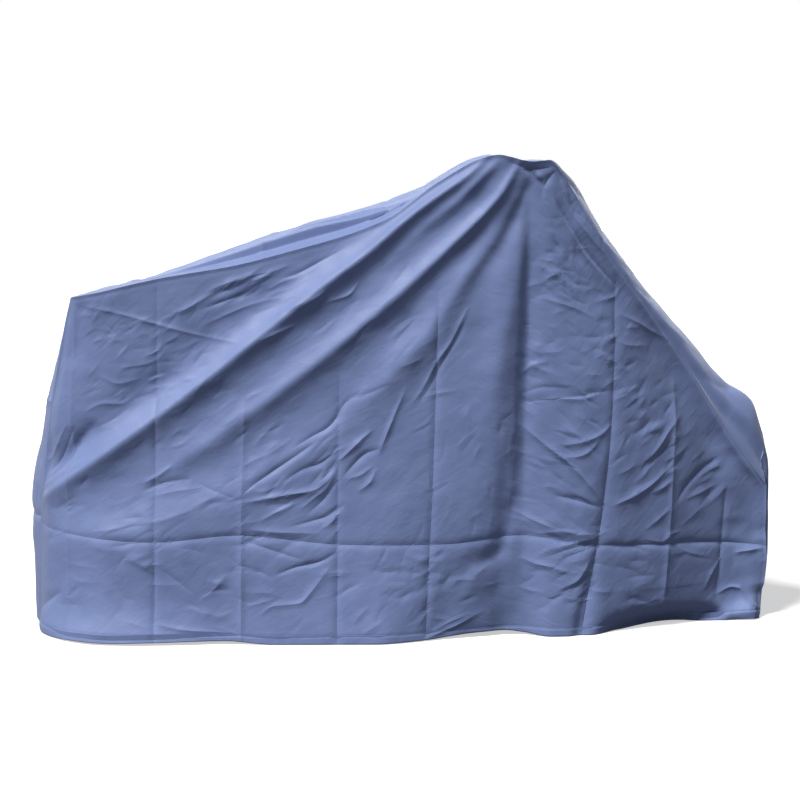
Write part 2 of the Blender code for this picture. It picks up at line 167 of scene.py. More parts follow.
# Soft lumps in the cloth: their height and size, and the share of x and z in the two
# directions that they are laid out along.
Lumps = namedtuple("Lumps", "height size first second", defaults=((1.0, 0.0), (0.0, 1.0)))
SIDE_LUMPS = (Lumps(0.0030, 0.170), Lumps(0.0014, 0.070, (0.8, 0.6), (-0.9, 1.1)),
              Lumps(0.0005, 0.026))
GUSSET_LUMPS = (Lumps(0.0030, 0.120), Lumps(0.0016, 0.050))
NEAR_SEED = 41
FAR_SEED = 51
GUSSET_SEED = 71
# The grid of random heights that the lumps are read from, and where x and z start in it.
LATTICE = 96
LATTICE_START = (48.0, 12.0)

ROUTE_SAMPLES = 60
TIP_ROUNDING = 0.36
# A fold is worked out this many widths out, by whether it is round or sharp.
ROUND_REACH = 2.6
SHARP_REACH = 5.0
MOSTLY_SHARP = 0.5
# How far a fold runs on past its ends, and how long it takes to fade there, in shares of
# its route.
END_REACH = 0.10
END_RUN = 0.22
# A crease's sharp line is shaded within this distance of it.
CREASE_REACH = 0.014
# A small crease's width and height at its start, middle and end, and its sharpness.
CREASE_WIDTHS = np.array((0.55, 0.80, 0.55))
CREASE_HEIGHTS = np.array((0.3, 0.9, 0.3))
CREASE_TIP = 0.8
# The same for a wrinkle, and the ranges that its half length, bow, width and height are
# drawn from, as shares of its patch's length, of its half length, and of its patch's
# width and height.
WRINKLE_WIDTHS = np.array((0.6, 1.0, 0.6))
WRINKLE_HEIGHTS = np.array((0.3, 1.0, 0.3))
WRINKLE_TIP = 0.5
HALF_LENGTH_RANGE = (0.25, 0.6)
BOW_RANGE = (-0.18, 0.18)
WIDTH_RANGE = (0.7, 1.5)
HEIGHT_RANGE = (0.4, 1.0)

Fold = namedtuple("Fold", "route width height left right tip")


def fold(route, width, height, left=1.0, right=1.0, tip=0.0):
    """A fold in metres from one in millimetres. route lists (x, z) points along it. width
    and height are read along the route from its first point to its last, and a negative
    height is a valley. left and right scale the width on the two sides of a fold drawn
    downwards. tip is 0 for a round fold and 1 for a sharp crease."""
    route, width, height = [np.array(table) / MM_PER_METRE for table in (route, width, height)]
    return Fold(route, width, height, left, right, tip)


def crease(width, height, *route):
    """A small crease, which thins out towards its ends, from each point's x and z."""
    return fold(np.reshape(route, (-1, 2)), width * CREASE_WIDTHS, height * CREASE_HEIGHTS,
                tip=CREASE_TIP)


# Folds on the near panel.
NEAR_FOLDS = (
    # First ridge.
    fold(((220, 1172), (168, 1124), (110, 1082), (30, 1023), (-70, 938), (-196, 843), (-351, 721),
          (-508, 597), (-657, 488), (-787, 393), (-893, 313)),
         (10, 15, 21, 27, 30, 28, 22), (8, 17, 24, 28, 28, 22, 12), 0.75, 1.05, 0.85),
    # First hollow.
    fold(((-60, 1010), (-115, 985), (-230, 890), (-385, 768), (-542, 644), (-691, 535), (-823, 442),
          (-910, 390)), (40, 46, 40), (-6, -10, -14, -10), 1.2, 0.8),
    # First ridge branch.
    fold(((240, 1158), (188, 1106), (139, 1058), (60, 992), (-38, 898)),
         (12, 18, 20), (6, 13, 8, 1), tip=0.6),
    # Second ridge.
    fold(((284, 1146), (241, 1073), (179, 1005), (106, 936), (-1, 835), (-128, 729), (-283, 607),
          (-452, 485), (-598, 387)), (8, 16, 26, 32, 36), (10, 19, 25, 20, 8), tip=0.85),
    # Third ridge.
    fold(((300, 1110), (266, 1032), (217, 951), (156, 870), (72, 744), (-48, 610), (-130, 535)),
         (12, 20, 28, 38, 38), (0, 4, 13, 18, 4), 1.0, 1.1, 0.5),
    # Grip shade.
    fold(((262, 1150), (286, 1110), (300, 1060), (304, 1000)), (18, 26), (-5, -5, -1), 0.9, 1.6),
    # Fourth ridge.
    fold(((300, 1010), (286, 930), (270, 850), (250, 740), (228, 620), (200, 480)),
         (14, 22, 26, 30), (1, 5, 8, 8, 2), 1.6, 1.2, 0.1),
    # Hanging valley.
    fold(((318, 1074), (314, 964), (312, 879), (306, 768), (300, 695), (296, 571), (293, 422),
          (282, 300)), (16, 22, 24), (-1, -2, -5, -8, -9), 1.4, 1.4, 0.3),
    # Hanging valley hook.
    fold(((284, 340), (268, 262), (250, 214), (214, 192), (170, 176), (150, 140), (144, 90)),
         (14, 18, 16), (-6, -7, -1), 1.6, 1.1, 0.3),
    # Hanging valley foot.
    fold(((270, 230), (272, 119), (276, 0)), (16, 22), (-3, -7), 2.2, 1.2, 0.4),
    # Third ridge tail.
    fold(((-20, 590), (-120, 510), (-235, 448), (-400, 358), (-560, 290), (-735, 246), (-850, 232)),
         (36, 50, 46), (1, 7, 15, 16, 8), 1.1, 2.0, 0.2),
    # Front lobe edge.
    fold(((462, 130), (446, 60), (438, -10)), (12, 20), (-4, -12), 0.9, 1.6, 0.4),
    # Second shade.
    fold(((318, 1110), (285, 1040), (250, 965), (208, 900), (160, 835)),
         (14, 22, 26), (-3, -9, -8, -2), 1.0, 1.1, 0.1),
    # Rear corner shade.
    fold(((-768, 815), (-778, 740), (-792, 660)), (20, 24), (-6, -7, -3), 1.0, 1.2),
    # Front seam ridge.
    fold(((452, 1005), (486, 950), (552, 858), (618, 769), (707, 643), (800, 492), (866, 398),
          (905, 352)), (10, 12), (2, 8, 10, 10, 6), 1.0, 1.6, 0.7),
    # Front seam shade.
    fold(((600, 740), (675, 625), (765, 475), (830, 385)), (24, 30), (-4, -7, -6)),
    # Front swell.
    fold(((425, 1100), (455, 1020), (484, 930), (524, 850)), (24, 34, 30), (3, 7, 4), 1.2, 1.0),
    # Front tip turn.
    fold(((800, 450), (824, 370), (832, 300), (830, 240)), (34, 42), (5, 11, 4)),
    # Front flap.
    fold(((926, 210), (930, 140), (930, 70)), (30, 34), (4, 15, 10), 1.1, 0.8, 0.1),
    # Lobe turn.
    fold(((252, 500), (254, 380), (246, 260), (240, 160), (238, 40)),
         (26, 30), (-4, -7, -8, -6), 1.2, 1.0),
    # Low turn.
    fold(((112, 180), (106, 90), (100, 0)), (34, 36), (-2, -6, -6)),
    # Rear lift.
    fold(((-400, 752), (-470, 692), (-540, 632)), (30, 34), (3, 6, 3)),
    # Rear swell.
    fold(((-680, 215), (-520, 200), (-360, 210), (-200, 250)), (70, 80, 70), (4, 8, 7, 3), 1.0, 2.2),
    # First ridge lead.
    fold(((-740, 520), (-790, 470), (-850, 400)), (14, 14), (-4, -10, -6), 1.0, 1.2, 0.5),
    # Rear foot swell.
    fold(((-900, 20), (-780, -10), (-620, -20), (-440, -20)), (50, 60, 50), (10, 22, 16, 6)),
    # Front foot tuck.
    fold(((500, 0), (600, 4), (700, 4), (780, 12), (820, 20)),
         (26, 30, 14), (-20, -36, -34, -10), tip=0.3),
    # Front foot kick.
    fold(((740, 6), (820, 12), (900, 20)), (20, 26), (10, 16)),
)

# Small creases on the near panel: the width, the height, and each point's x and z. Most
# places were picked on the photo, and a program put them in metres.
CREASES = tuple(crease(*row) for row in (
    # Rear edge.
    (8, -5, -795, 507, -825, 451, -864, 396),
    (7, 4, -810, 520, -841, 465, -877, 411),
    (8, -5, -779, 473, -810, 433, -860, 380),
    (6, 1, -828, 188, -776, 179, -729, 177),
    (14, -5, -900, 35, -860, 82, -826, 110),
    # The long crease that the rear corner pulls, and the fan that meets it.
    (5, 3.4, -763, 806, -676, 789, -582, 763, -494, 740, -385, 718),
    (6, -4, -465, 803, -430, 816, -361, 842),
    (7, 2.6, -470, 763, -421, 785, -350, 813, -284, 828),
    (10, 3.6, -464, 842, -415, 862, -362, 878, -285, 897),
    (10, 3.6, -570, 776, -507, 804, -447, 840),
    (8, 3, -380, 854, -332, 876, -264, 907),
    (6, 2.4, -319, 844, -277, 868, -251, 875),
    (6, -4.6, -279, 873, -236, 890, -188, 916, -140, 941),
    (7, 2.6, -614, 686, -582, 701, -570, 720),
    (6, 2, -606, 627, -566, 642),
    (5, -1.6, -663, 741, -637, 758),
    (5, -1.6, -712, 767, -676, 734),
    (8, 2.2, -675, 658, -626, 664, -577, 682),
    (7, 3, -760, 552, -716, 572, -674, 572, -645, 590),
    (8, 2, -724, 638, -678, 621, -625, 634),
    (8, -2.2, -736, 514, -694, 534, -655, 563),
    # In the shade of the first ridge.
    (6, 4, -333, 723, -299, 739, -255, 760),
    (6, 4, -234, 806, -203, 823, -177, 842),
    (6, 4, -174, 816, -122, 834, -98, 865),
    # The lit crease above the middle and its dark edges.
    (6, 3.6, 31, 575, 57, 613, 87, 670, 122, 721, 150, 777, 164, 804),
    (6, -2.6, 43, 570, 74, 617, 102, 670, 136, 727, 160, 776),
    (8, 6, 10, 601, -17, 537, -36, 490, -49, 455),
    (6, 1.8, 60, 589, 98, 598, 136, 605),
    (7, -2, -116, 585, -68, 601, -30, 618),
    (7, 2, -1, 660, 30, 671, 58, 685),
    # The fan between the second and third columns of packing creases.
    (8, -6, -381, 352, -346, 383, -299, 416, -246, 452, -206, 481),
    (7, -5.6, -253, 470, -212, 495, -173, 517, -152, 541, -137, 569, -101, 600),
    (8, 5.6, -376, 336, -333, 345, -264, 357, -207, 367, -178, 386, -155, 417),
    (8, -5, -273, 393, -230, 418, -191, 431, -162, 455, -151, 472),
    (7, -4.6, -186, 393, -169, 415, -152, 435),
    (9, 6, -154, 429, -121, 461, -89, 491, -68, 509),
    (7, -5, -135, 400, -114, 425, -82, 454, -53, 465),
    (6, 3.6, -123, 394, -96, 402, -67, 422),
    (8, 4.4, -101, 363, -72, 385, -56, 418),
    (6, 3.6, -240, 321, -209, 346, -178, 371, -155, 411),
    (6, -3.6, -220, 312, -183, 345, -149, 392),
    (8, 3.6, -336, 293, -297, 314, -250, 335),
    (7, -4.6, -258, 281, -213, 293, -174, 305, -149, 323),
    (7, 3.4, -187, 273, -162, 293, -145, 316),
    (7, 3, -361, 273, -288, 266, -197, 264),
    # Below the row of packing creases, rear half.
    (7, -3.6, -377, 248, -331, 232, -279, 215, -235, 201),
    (7, -5.6, -299, 165, -250, 183, -193, 196, -152, 219),
    (8, 4, -333, 71, -308, 90, -241, 98, -217, 120, -192, 152, -169, 184),
    (7, 2.6, -371, 90, -332, 99, -302, 107),
    (8, 4, -617, 383, -585, 398, -548, 424),
    (7, -3, -611, 366, -570, 383, -529, 390),
    (7, -2.4, -480, 382, -445, 365, -385, 342),
    (10, 2.2, -601, 349, -540, 364, -469, 374),
    (8, -2.4, -569, 175, -531, 146, -493, 117),
    (8, 2.6, -477, 106, -444, 132, -413, 173),
    (7, 3, -579, 46, -521, 34, -400, 26),
    (7, 4, 60, 4, 121, 26, 196, 61),
    (7, 3, 73, 14, 118, 40, 172, 60),
    # Between the hanging valley and the sixth column.
    (8, 6, 292, 521, 326, 490, 359, 463, 404, 428, 445, 387, 492, 332),
    (7, 4, 384, 435, 435, 439, 467, 456, 484, 478),
    (8, 4.6, 389, 465, 440, 473, 488, 490, 515, 513),
    (7, -5.6, 379, 344, 425, 333, 492, 312),
    (7, 4.6, 281, 310, 316, 288, 354, 272, 380, 263),
    (8, 4.4, 328, 251, 390, 256, 441, 247, 482, 245),
    (7, 4.6, 294, 193, 329, 179, 371, 169, 412, 152),
    (6, -3.6, 356, 194, 404, 210, 446, 220, 487, 230),
    (6, 3.4, 370, 216, 428, 227, 482, 239),
    (6, -3, 380, 181, 424, 199, 472, 215),
    (8, -4.6, 342, 96, 371, 91, 404, 109, 441, 128, 470, 166),
    (8, 4, 389, 115, 433, 135, 465, 181),
    (6, 3, 334, 827, 388, 811, 430, 796, 472, 774),
    (7, 3.4, 296, 641, 325, 663, 358, 670),
    (6, 2, 304, 708, 339, 693, 378, 693, 402, 702),
    (6, -2.4, 293, 592, 351, 608, 414, 605),
    (7, 4.4, 317, 569, 378, 580, 440, 578, 503, 600),
    (8, 4, 350, 866, 368, 878, 388, 883),
    (6, -2, 388, 842, 427, 816, 456, 806),
    (6, 3, 473, 811, 503, 819, 530, 827, 536, 847),
    (8, -8, 378, 1055, 398, 1020, 424, 978, 450, 938, 484, 896, 520, 856),
    (8, 6, 366, 1065, 386, 1024, 412, 980, 440, 934, 476, 890),
    (7, 4, 392, 1066, 424, 1012, 456, 968, 490, 930),
    # Under the handlebars' top.
    (9, -7, 262, 1150, 289, 1140, 312, 1132, 342, 1134, 366, 1138),
    (10, -6, 300, 1138, 322, 1118, 338, 1096, 346, 1070),
    (9, -5, 374, 1128, 358, 1110, 346, 1088),
    (8, 4, 330, 1124, 342, 1106),
    (7, 4, 388, 1110, 400, 1078, 410, 1050),
    # Front third.
    (8, 5.6, 524, 315, 572, 334, 620, 362, 661, 396),
    (7, 4.6, 598, 415, 631, 445, 665, 491, 695, 526),
    (6, -3.6, 612, 406, 640, 435, 672, 468),
    (7, 3, 607, 248, 635, 271, 672, 301),
    (7, -5.6, 688, 315, 721, 356, 756, 387, 797, 408),
    (6, 3, 620, 339, 650, 352, 676, 370),
    (6, 2.8, 714, 316, 756, 329, 790, 343),
    (6, 2.8, 749, 365, 782, 384, 807, 390),
    (6, 3, 612, 224, 647, 215, 672, 234, 695, 237),
    (7, 3, 764, 81, 782, 119, 814, 161),
    (7, 3, 541, 780, 582, 760, 625, 733, 661, 713),
    (6, 2, 530, 717, 561, 704, 614, 701),
    (10, 6, 847, 167, 887, 170, 918, 173),
    (7, 5.6, 804, 69, 835, 82, 857, 78, 878, 48, 905, 24),
))
# Creases on the gusset, drawn in x and y. The long ones are pleats along the top.
GUSSET_CREASES = tuple(crease(*row) for row in (
    (8, 10, -270, -240, -170, -244, -80, -262, 10, -292),
    (10, 10, -230, -205, -130, -215, -40, -245, 40, -290),
    (30, -8, -700, 60, -480, 20, -260, 60, -60, 20),
    (30, 8, -640, 180, -420, 140, -160, 170),
    (22, 7, 150, 180, 0, 160, -200, 190, -420, 240),
    (20, -6, 170, 110, 20, 85, -200, 95),
    (22, 6, 150, 10, -20, -10, -240, -20, -500, -60),
    (20, -5, 160, -70, 10, -95, -180, -110),
    (20, 6, -520, 120, -620, 160, -740, 230),
    (20, 5, -560, -80, -660, -140, -760, -230),
    (10, -8, 356, -292, 400, -255, 430, -205, 470, -120),
    (12, 6, 345, -270, 392, -235, 424, -180, 460, -90),
    (10, 5, 480, -236, 520, -200, 560, -150, 590, -80),
    (10, -5, 560, -205, 610, -150, 650, -60),
    (12, 5, 640, -160, 700, -110, 760, -40),
    (12, -5, 740, -126, 800, -80, 860, -10),
    (16, 7, 400, 240, 470, 160, 540, 60),
    (16, -6, 560, 190, 640, 110, 720, 20),
))
# The gusset's packing creases, drawn in its run from the rear hem and its place across.
GUSSET_PACKING = tuple(fold(*row, tip=1.0) for row in (
    (((255, -300), (262, 0), (252, 300)), (7, 7), (-3.6, -4)),
    (((560, -330), (556, 0), (566, 330)), (7, 7), (2.4, 2.8)),
    (((1010, -340), (1004, 0), (1014, 340)), (8, 8), (-3, -3.4)),
    (((1330, -330), (1338, 0), (1326, 330)), (8, 8), (2.4, 3)),
    (((1650, -310), (1644, 0), (1654, 310)), (8, 8), (-2.6, -3)),
    (((2290, -250), (2296, 0), (2284, 250)), (7, 7), (-2.6, -3.4)),
    (((20, 12), (800, 4), (1300, 16), (1900, 6), (2600, 0)), (8, 8), (2.8, 3)),
))
# Folds on the far panel, which hang by themselves.
FAR_FOLDS = (
    # First ridge.
    fold(((160, 1120), (60, 1040), (-90, 930), (-260, 810), (-450, 680), (-640, 540), (-830, 390)),
         (22, 36, 50), (14, 22, 20), 1.7, 0.6),
    # First valley.
    fold(((180, 1110), (80, 1010), (-50, 895), (-230, 755), (-420, 625), (-600, 500), (-810, 350)),
         (20, 26), (-16, -26, -18), 0.9, 1.6),
    # Second ridge.
    fold(((270, 1100), (140, 970), (-40, 800), (-240, 660), (-460, 530)),
         (14, 40, 55), (14, 18, 8), 1.5, 0.8),
    # Second valley.
    fold(((290, 1090), (190, 950), (40, 780), (-140, 640), (-330, 510)),
         (16, 34), (-16, -20, -6), 0.8, 1.4),
    # Hanging valley.
    fold(((310, 1020), (295, 800), (280, 500), (262, 200), (262, 0)), (14, 20), (-4, -14), 2.0, 0.6, 0.4),
    # Front tuck.
    fold(((560, 60), (680, 50), (800, 52)), (34, 40), (-6, -10), 0.8, 1.3),
)

# Creases left from packing: straight lines pressed into the side panels. They run up the
# cloth and, in the last two, along it.
PACKING_CREASES = tuple(fold(*row, tip=1.0) for row in (
    (((-787, 820), (-800, 420), (-802, 0)), (6, 6), (2.4, 3.4)),
    (((-583, 860), (-588, 430), (-591, 0)), (6, 6), (-1.8, -4.4)),
    (((-372, 600), (-380, 300), (-382, 0)), (7, 6), (1.8, 4.4)),
    (((-146, 640), (-150, 300), (-151, 0)), (7, 7), (-2.2, -5)),
    (((92, 810), (82, 453), (63, 0)), (8, 8), (-4, -4.6)),
    (((527, 857), (520, 564), (500, 313), (446, 0)), (8, 8, 16), (-3, -4.6, -9)),
    (((684, 600), (672, 330), (655, 60)), (7, 7), (3.4, 4)),
    (((820, 330), (812, 200), (800, 70)), (7, 7), (-3, -4.4)),
    (((-900, 262), (-604, 241), (-387, 258), (-133, 236), (98, 232), (292, 246), (500, 217), (757, 203),
      (924, 180)), (7, 7), (-3.4, -3.2, -4.4)),
    (((311, 572), (439, 586), (503, 596)), (7, 7), (-3, -3)),
))

# Patches of small wrinkles. x and z are the patch's middle, reach_x and reach_z its
# half sizes, angle the wrinkles' direction above level in degrees, spread how much that
# varies, and the rest each wrinkle's length, width and height.
Patch = namedtuple("Patch", "seed count x z reach_x reach_z angle spread length width height")
NEAR_PATCHES = [Patch(*row) for row in (
    (11, 28, -260, 400, 130, 140, 40, 14, 80, 5, 2),
    (13, 34, 380, 400, 90, 190, -30, 18, 80, 5, 2),
    (14, 30, 400, 170, 90, 110, 15, 30, 70, 5, 2),
    (15, 34, 600, 470, 70, 140, 38, 25, 60, 6, 2.2),
    (16, 16, 740, 360, 60, 120, 40, 16, 70, 6, 2),
    (17, 34, 400, 740, 100, 150, -10, 35, 55, 6, 2),
    (26, 34, 390, 920, 50, 110, -35, 40, 50, 6, 2.2),
    (27, 22, 520, 680, 50, 90, 20, 40, 50, 6, 2),
    (28, 26, 150, 400, 130, 150, 60, 40, 60, 6, 1.4),
    (29, 24, 100, 120, 150, 90, 30, 50, 60, 6, 1.8),
    (30, 20, -100, 780, 120, 120, 42, 12, 80, 6, 1.4),
    (18, 70, -580, 690, 180, 110, 28, 30, 50, 5, 1.4),
    (19, 18, -320, 840, 110, 50, 26, 10, 90, 6, 2.2),
    (20, 26, -480, 300, 240, 110, 22, 18, 100, 7, 1.8),
    (21, 24, -560, 130, 240, 100, 10, 40, 80, 8, 2),
    (22, 12, -820, 340, 60, 160, 45, 20, 70, 7, 2),
    (23, 18, -80, 120, 200, 90, 20, 30, 80, 8, 2),
    (24, 16, 640, 150, 130, 90, -4, 35, 80, 7, 1.8),
    (25, 14, -420, 540, 160, 60, 34, 14, 70, 6, 1.4),
)]
GUSSET_PATCHES = [Patch(*row) for row in (
    (61, 26, 420, 0, 320, 220, 20, 50, 90, 7, 2.4),
    (62, 14, 780, 160, 80, 140, 40, 30, 110, 8, 3),
    (63, 14, 780, -160, 80, 120, -40, 30, 110, 8, 3),
    (64, 40, 1300, 60, 420, 220, 4, 24, 140, 8, 2.6),
    (65, 26, 2250, 0, 300, 140, 30, 50, 80, 7, 2.4),
    (66, 14, 2900, 0, 200, 60, 10, 50, 60, 6, 1.8),
)]
FAR_PATCHES = [Patch(*row) for row in (
    (31, 30, -250, 420, 200, 200, 50, 16, 120, 9, 3),
    (32, 24, 420, 420, 100, 220, -34, 16, 110, 9, 3),
    (33, 24, 650, 330, 110, 160, 40, 16, 100, 8, 2.4),
    (34, 26, -620, 650, 170, 130, 14, 26, 90, 9, 1.8),
    (35, 20, -560, 160, 220, 130, 20, 30, 120, 10, 2.2),
)]

# The folds, creases and wrinkles of each side panel, and the seed of its lumps.
Side = namedtuple("Side", "folds creases patches seed")
SIDES = (
    Side(NEAR_FOLDS, CREASES + PACKING_CREASES, NEAR_PATCHES, NEAR_SEED),
    Side(FAR_FOLDS, PACKING_CREASES, FAR_PATCHES, FAR_SEED),
)


def read_smoothly(places, values, wanted):
    """Reads values between places on cubic curves that never overshoot."""
    widths = np.diff(places)
    rises = np.diff(values) / widths
    tangents = np.zeros(len(values))
    tangents[0] = rises[0]
    tangents[-1] = rises[-1]
    same_way = rises[1:] * rises[:-1] > 0
    both = np.where(same_way, rises[1:] + rises[:-1], 1.0)
    tangents[1:-1] = np.where(same_way, 2 * rises[1:] * rises[:-1] / both, 0.0)
    cell = np.clip(np.searchsorted(places, wanted) - 1, 0, len(places) - 2)
    width = widths[cell]
    s = np.clip((wanted - places[cell]) / width, 0.0, 1.0)
    start = (1 + 2 * s) * (1 - s) ** 2 * values[cell]
    start_lean = s * (1 - s) ** 2 * width * tangents[cell]
    end = s * s * (3 - 2 * s) * values[cell + 1]
    end_lean = s * s * (s - 1) * width * tangents[cell + 1]
    return start + start_lean + end + end_lean


def ease(value):
    """A soft step from 0 to 1."""
    value = np.clip(value, 0.0, 1.0)
    return value * value * (3 - 2 * value)


def near_side_points(hem_x, rise):
    """Points of the near side panel before its folds, for hem places and height shares."""
    at = Section(*[read_smoothly(SECTIONS.hem_x, values, hem_x) for values in SECTIONS])
    x = hem_x + (at.seam_x - hem_x) * rise + at.bow_x * 4 * rise * (1 - rise)
    third = rise * 3
    y = (at.hem_y * (third - 1) * (third - 2) * (third - 3) / -6
         + at.low_y * third * (third - 2) * (third - 3) / 2
         + at.high_y * third * (third - 1) * (third - 3) / -2
         + at.seam_y * third * (third - 1) * (third - 2) / 6)
    z = at.hem_z + (at.seam_z - at.hem_z) * rise
    return np.stack((x, y, z), axis=-1)


def run_along(line):
    """How far along a line of points each one lies."""
    steps = np.linalg.norm(np.diff(line, axis=0), axis=1)
    return np.concatenate(((0.0,), np.cumsum(steps)))


def even_hem_places(count):
    """Hem places spaced so that the panel's columns are evenly far apart."""
    fine = np.linspace(SECTIONS.hem_x[0], SECTIONS.hem_x[-1], ARC_SAMPLES)
    run = sum(run_along(near_side_points(fine, np.full(ARC_SAMPLES, rise))) for rise in ARC_RISES)
    return np.interp(np.linspace(0, run[-1], count), run, fine)


def surface_normals(points, outside):
    """Unit normals of a grid of points, turned to the side that outside lies on."""
    along = np.gradient(points, axis=1)
    upward = np.gradient(points, axis=0)
    normals = np.cross(along, upward)
    normals /= np.maximum(np.linalg.norm(normals, axis=-1, keepdims=True), LEAST_NORMAL)
    if np.sum(normals * outside) < 0:
        normals = -normals
    return normals


def smooth_noise(x, z, size, seed):
    """Soft lumps of about the given size, between -1 and 1."""
    draw = np.random.default_rng(seed)
    lattice = draw.uniform(-1.0, 1.0, (LATTICE, LATTICE))
    place_x = (x / size + LATTICE_START[0]) % (LATTICE - 1)
    place_z = (z / size + LATTICE_START[1]) % (LATTICE - 1)
    cell_x = place_x.astype(int)
    cell_z = place_z.astype(int)
    part_x = ease(place_x - cell_x)
    part_z = ease(place_z - cell_z)
    low = lattice[cell_x, cell_z] * (1 - part_x) + lattice[cell_x + 1, cell_z] * part_x
    high = lattice[cell_x, cell_z + 1] * (1 - part_x) + lattice[cell_x + 1, cell_z + 1] * part_x
    return low * (1 - part_z) + high * part_z


def add_lumps(total, x, z, table, seed):
    for number, lumps in enumerate(table):
        first = x * lumps.first[0] + z * lumps.first[1]
        second = x * lumps.second[0] + z * lumps.second[1]
        total += lumps.height * smooth_noise(first, second, lumps.size, seed + number)


def near_route(x, z, bend, reach):
    """The places within reach of a fold's route, their share of its run, how far aside of
    it they are, and how much of the fold is left towards its ends."""
    marks = np.linspace(0.0, 1.0, len(bend.route))
    share = np.linspace(0.0, 1.0, ROUTE_SAMPLES)
    line_x = read_smoothly(marks, bend.route[:, 0], share)
    line_z = read_smoothly(marks, bend.route[:, 1], share)
    inside = ((x > line_x.min() - reach) & (x < line_x.max() + reach)
              & (z > line_z.min() - reach) & (z < line_z.max() + reach))
    near_x = x[inside]
    near_z = z[inside]
    gaps = (near_x[:, None] - line_x) ** 2 + (near_z[:, None] - line_z) ** 2
    before = np.clip(np.argmin(gaps, axis=-1), 1, ROUTE_SAMPLES - 2)
    lean_x = line_x[before + 1] - line_x[before - 1]
    lean_z = line_z[before + 1] - line_z[before - 1]
    length = np.hypot(lean_x, lean_z)
    off_x = near_x - line_x[before]
    off_z = near_z - line_z[before]
    past = (off_x * lean_x + off_z * lean_z) / length
    aside = (off_x * lean_z - off_z * lean_x) / length
    place = (before + past * 2 / length) / (ROUTE_SAMPLES - 1)
    fade = ease((place + END_REACH) / END_RUN) * ease((1 + END_REACH - place) / END_RUN)
    return inside, np.clip(place, 0.0, 1.0), aside, fade


def read_evenly(values, place):
    return np.interp(place, np.linspace(0, 1, len(values)), values)


def add_folds(total, x, z, bends):
    """Adds each fold's height to the places near it."""
    for bend in bends:
        widths_out = ROUND_REACH if bend.tip < MOSTLY_SHARP else SHARP_REACH
        reach = max(bend.width) * max(bend.left, bend.right) * widths_out
        inside, place, aside, fade = near_route(x, z, bend, reach)
        width = read_evenly(bend.width, place) * np.where(aside > 0, bend.left, bend.right)
        away = np.abs(aside) / width
        rounded = np.sqrt(away ** 2 + TIP_ROUNDING ** 2) - TIP_ROUNDING
        shape = (1 - bend.tip) * np.exp(-away ** 2) + bend.tip * np.exp(-rounded)
        total[inside] += read_evenly(bend.height, place) * fade * shape


def crease_marks(x, z, creases):
    """At each place, the nearest crease's distance, signed by its side, and its height."""
    distance = np.full(x.shape, CREASE_REACH)
    height = np.zeros(x.shape)
    for bend in creases:
        inside, place, aside, fade = near_route(x, z, bend, CREASE_REACH)
        here = distance[inside]
        tall = height[inside]
        closer = (np.abs(aside) < np.abs(here)) & (fade > 0)
        here[closer] = aside[closer]
        tall[closer] = (read_evenly(bend.height, place) * fade)[closer]
        distance[inside] = here
        height[inside] = tall
    height *= ease(2 - 2 * np.abs(distance) / CREASE_REACH)
    return np.stack((distance, height), axis=-1)


def wrinkle(patch, draw):
    """One small wrinkle of a patch: a short bowed fold."""
    middle = np.array((patch.x + patch.reach_x * draw.uniform(-1, 1),
                       patch.z + patch.reach_z * draw.uniform(-1, 1)))
    angle = math.radians(patch.angle + patch.spread * draw.uniform(-1, 1))
    half = patch.length * draw.uniform(*HALF_LENGTH_RANGE)
    bow = half * draw.uniform(*BOW_RANGE)
    along = np.array((math.cos(angle), math.sin(angle)))
    aside = np.array((-along[1], along[0]))
    route = (middle + half * along, middle + bow * aside, middle - half * along)
    width = patch.width * draw.uniform(*WIDTH_RANGE)
    height = patch.height * draw.uniform(*HEIGHT_RANGE) * draw.choice((-1, 1))
    return fold(route, width * WRINKLE_WIDTHS, height * WRINKLE_HEIGHTS, tip=WRINKLE_TIP)


def with_wrinkles(creases, patches):
    """The creases, followed by the small wrinkles of each patch."""
    small = list(creases)
    for patch in patches:
        draw = np.random.default_rng(patch.seed)
        small += [wrinkle(patch, draw) for _ in range(patch.count)]
    return small


def seam_distance(points):
    """About how far each place of a side panel's grid is from the gusset's seam."""
    up = np.linalg.norm(np.diff(points, axis=0), axis=-1)
    below_top = np.zeros(points.shape[:2])
    below_top[:-1] = np.cumsum(up[::-1], axis=0)[::-1]
    along = np.linalg.norm(np.diff(points, axis=1), axis=-1)
    from_rear = np.zeros(points.shape[:2])
    from_rear[:, 1:] = np.cumsum(along, axis=1)
    from_front = from_rear[:, -1:] - from_rear
    return np.minimum(np.minimum(below_top, from_rear), from_front)


def seam_profile(distance):
    """The lip and groove that a sewn seam presses into the cloth beside it."""
    lip = SEAM_LIP * np.exp(-(distance / SEAM_LIP_WIDTH) ** 2)
    groove = np.exp(-((distance - SEAM_GROOVE_PLACE) / SEAM_GROOVE_WIDTH) ** 2)
    return lip - SEAM_GROOVE * groove


def hem_profile(z):
    """The doubled hem standing proud below its line of stitches."""
    swell = HEM_SWELL * ease((HEM_DEPTH - z) / HEM_SWELL_EDGE)
    groove = STITCH_GROOVE * np.exp(-((z - HEM_DEPTH) / STITCH_GROOVE_WIDTH) ** 2)
    return swell - groove


